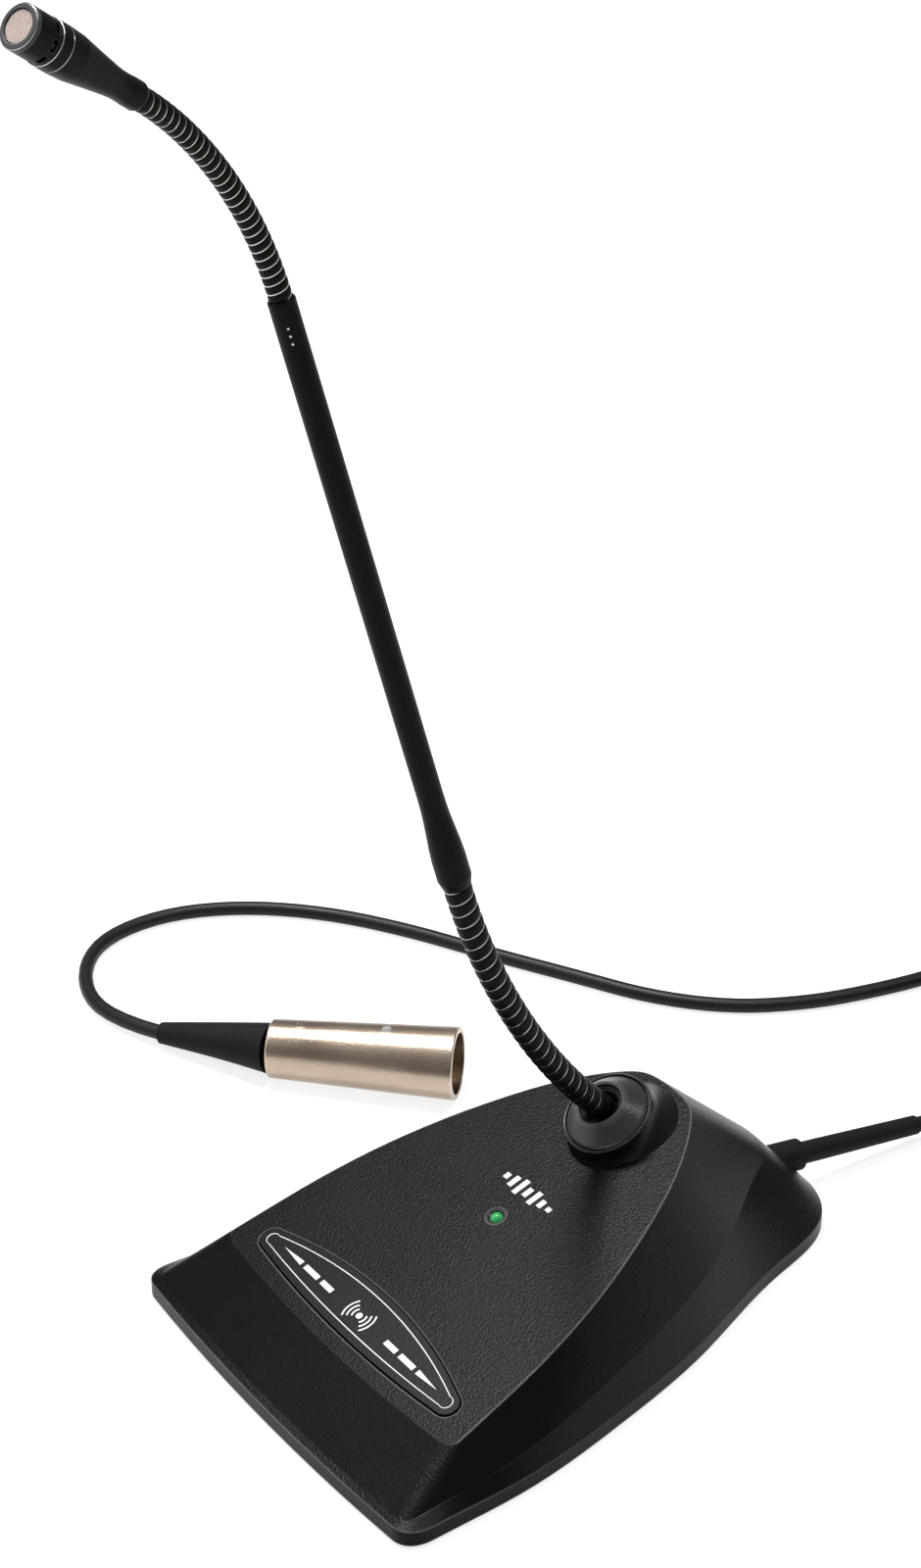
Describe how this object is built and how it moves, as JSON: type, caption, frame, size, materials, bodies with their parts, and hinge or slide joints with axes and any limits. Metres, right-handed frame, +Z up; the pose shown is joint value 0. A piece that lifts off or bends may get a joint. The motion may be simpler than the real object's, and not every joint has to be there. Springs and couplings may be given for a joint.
{
  "type": "gooseneck podium microphone",
  "caption": "Desk microphone: a weighted wedge base with a talk bar, a neck of flexible and rigid stretches, a small condenser head, and a cable with an audio plug.",
  "frame": {"origin": "on the desk under the middle of the base", "axes": "+Z up; -Y towards the talker and the talk bar, +Y towards the cable's exit; +X to the talker's right as they face +Y"},
  "size_m": [0.2537, 0.3316, 0.3243],
  "materials": {
    "housing_black": "satin, finely textured",
    "boss_black": "glossy",
    "cone_grey": "satin metallic",
    "button_black": "satin",
    "neck_black": "satin black",
    "head_black": "satin black",
    "front_grey": "satin",
    "grille_mesh": "fine mesh",
    "led_green": "clear tinted",
    "bezel_black": "glossy",
    "rubber_black": "matt",
    "cable_black": "satin jacket",
    "tie_black": "matt",
    "steel": "plain",
    "iron": "cast",
    "board_green": "coated",
    "component_dark": "matt",
    "copper_wire": "insulated",
    "capsule_metal": "satin",
    "shell_nickel": "satin nickel",
    "pin_gold": "plated"
  },
  "bodies": {
    "base": {"base_housing": "housing_black", "bottom_plate": "steel", "rubber_pad": "rubber_black", "housing_screws": "steel", "ballast_weight": "iron", "board_standoffs": "steel", "main_board": "board_green", "board_components": "component_dark", "button_board": "board_green", "tact_switches": "component_dark", "led_bezel": "bezel_black", "led_lens": "led_green", "collar_boss": "boss_black", "collar_cone": "cone_grey", "collar_bushing": "rubber_black", "neck_socket": "steel", "neck_lock_nut": "steel", "neck_ferrule": "neck_black", "cable_gland": "rubber_black", "strain_relief": "rubber_black", "cable_clamp": "steel", "plug_boot": "rubber_black", "plug_shell": "shell_nickel", "plug_insert": "component_dark", "plug_pins": "pin_gold", "plug_screw": "steel", "cable_coil": "cable_black", "cable_tie": "tie_black", "cable_lead": "cable_black", "cable_tail": "cable_black"},
    "button": {"push_button": "button_black", "switch_plungers": "component_dark"},
    "lower_1": {"lower_link_1": "neck_black"},
    "lower_2": {"lower_link_2": "neck_black"},
    "lower_3": {"lower_link_3": "neck_black"},
    "lower_4": {"lower_link_4": "neck_black"},
    "lower_5": {"lower_link_5": "neck_black"},
    "lower_6": {"lower_link_6": "neck_black"},
    "lower_7": {"lower_link_7": "neck_black"},
    "tube": {"lower_flex_end": "neck_black", "neck_tube": "neck_black", "neck_wire": "copper_wire", "upper_flex_start": "neck_black"},
    "upper_1": {"upper_link_1": "neck_black"},
    "upper_2": {"upper_link_2": "neck_black"},
    "upper_3": {"upper_link_3": "neck_black"},
    "upper_4": {"upper_link_4": "neck_black"},
    "upper_5": {"upper_link_5": "neck_black"},
    "upper_6": {"upper_link_6": "neck_black"},
    "upper_7": {"upper_link_7": "neck_black"},
    "head": {"head_stub": "neck_black", "head_sleeve": "head_black", "head_ring": "head_black", "capsule_housing": "head_black", "front_ring": "front_grey", "capsule_grille": "grille_mesh", "capsule": "capsule_metal", "preamp_board": "board_green"}
  },
  "joints": [
    {"name": "button_press", "type": "slide", "parent": "base", "child": "button", "axis": [0, 0.308, -0.9514], "range_m": [0, 0.0007], "stiffness_N_per_m": 900, "springref_m": -0.0006},
    {"name": "lower_pitch", "type": "hinge", "parent": "base", "child": "lower_1", "pos_m": [0, 0.01194, 0.05222], "axis": [0.9999, -0.0094, 0.0117], "range_deg": [-10, 10]},
    {"name": "lower_sway", "type": "hinge", "parent": "lower_1", "child": "lower_2", "pos_m": [-0.00015, 0.0057, 0.05999], "axis": [0, 0.8185, 0.5746], "range_deg": [-10, 10]},
    {"name": "lower_pitch_2", "type": "hinge", "parent": "lower_2", "child": "lower_3", "pos_m": [-0.00045, -0.00002, 0.06814], "axis": [0.999, -0.0232, 0.0381], "range_deg": [-10, 10]},
    {"name": "lower_sway_2", "type": "hinge", "parent": "lower_3", "child": "lower_4", "pos_m": [-0.00089, -0.0052, 0.07664], "axis": [0, 0.886, 0.4637], "range_deg": [-10, 10]},
    {"name": "lower_pitch_3", "type": "hinge", "parent": "lower_4", "child": "lower_5", "pos_m": [-0.00148, -0.00981, 0.08545], "axis": [0.9973, -0.0298, 0.0672], "range_deg": [-10, 10]},
    {"name": "lower_sway_3", "type": "hinge", "parent": "lower_5", "child": "lower_6", "pos_m": [-0.00221, -0.01383, 0.09453], "axis": [0, 0.9388, 0.3445], "range_deg": [-10, 10]},
    {"name": "lower_pitch_4", "type": "hinge", "parent": "lower_6", "child": "lower_7", "pos_m": [-0.00308, -0.01725, 0.10385], "axis": [0.9949, -0.0285, 0.0969], "range_deg": [-10, 10]},
    {"name": "lower_sway_4", "type": "hinge", "parent": "lower_7", "child": "tube", "pos_m": [-0.00409, -0.02005, 0.11336], "axis": [0, 0.9757, 0.2189], "range_deg": [-10, 10]},
    {"name": "upper_pitch", "type": "hinge", "parent": "tube", "child": "upper_1", "pos_m": [-0.02119, -0.05262, 0.25851], "axis": [0.9969, -0.0241, 0.075], "range_deg": [-10, 10]},
    {"name": "upper_sway", "type": "hinge", "parent": "upper_1", "child": "upper_2", "pos_m": [-0.02175, -0.05479, 0.26526], "axis": [0, 0.9206, 0.3906], "range_deg": [-10, 10]},
    {"name": "upper_pitch_2", "type": "hinge", "parent": "upper_2", "child": "upper_3", "pos_m": [-0.02205, -0.05757, 0.2718], "axis": [1, -0.0029, 0.0055], "range_deg": [-10, 10]},
    {"name": "upper_sway_2", "type": "hinge", "parent": "upper_3", "child": "upper_4", "pos_m": [-0.02209, -0.06092, 0.27807], "axis": [0, 0.836, 0.5487], "range_deg": [-10, 10]},
    {"name": "upper_pitch_3", "type": "hinge", "parent": "upper_4", "child": "upper_5", "pos_m": [-0.02188, -0.06482, 0.28402], "axis": [0.9978, 0.0414, -0.0522], "range_deg": [-10, 10]},
    {"name": "upper_sway_3", "type": "hinge", "parent": "upper_5", "child": "upper_6", "pos_m": [-0.0214, -0.06923, 0.28958], "axis": [0, 0.7241, 0.6897], "range_deg": [-10, 10]},
    {"name": "upper_pitch_4", "type": "hinge", "parent": "upper_6", "child": "upper_7", "pos_m": [-0.02068, -0.07411, 0.2947], "axis": [0.9906, 0.1031, -0.0902], "range_deg": [-10, 10]},
    {"name": "upper_sway_4", "type": "hinge", "parent": "upper_7", "child": "head", "pos_m": [-0.0197, -0.07941, 0.29934], "axis": [0, 0.5866, 0.8098], "range_deg": [-10, 10]}
  ],
  "couplings": [
    {"joint": "lower_pitch_2", "follows": "lower_pitch", "ratio": 1},
    {"joint": "lower_sway_2", "follows": "lower_sway", "ratio": 1},
    {"joint": "lower_pitch_3", "follows": "lower_pitch", "ratio": 1},
    {"joint": "lower_sway_3", "follows": "lower_sway", "ratio": 1},
    {"joint": "lower_pitch_4", "follows": "lower_pitch", "ratio": 1},
    {"joint": "lower_sway_4", "follows": "lower_sway", "ratio": 1},
    {"joint": "upper_pitch_2", "follows": "upper_pitch", "ratio": 1},
    {"joint": "upper_sway_2", "follows": "upper_sway", "ratio": 1},
    {"joint": "upper_pitch_3", "follows": "upper_pitch", "ratio": 1},
    {"joint": "upper_sway_3", "follows": "upper_sway", "ratio": 1},
    {"joint": "upper_pitch_4", "follows": "upper_pitch", "ratio": 1},
    {"joint": "upper_sway_4", "follows": "upper_sway", "ratio": 1}
  ]
}
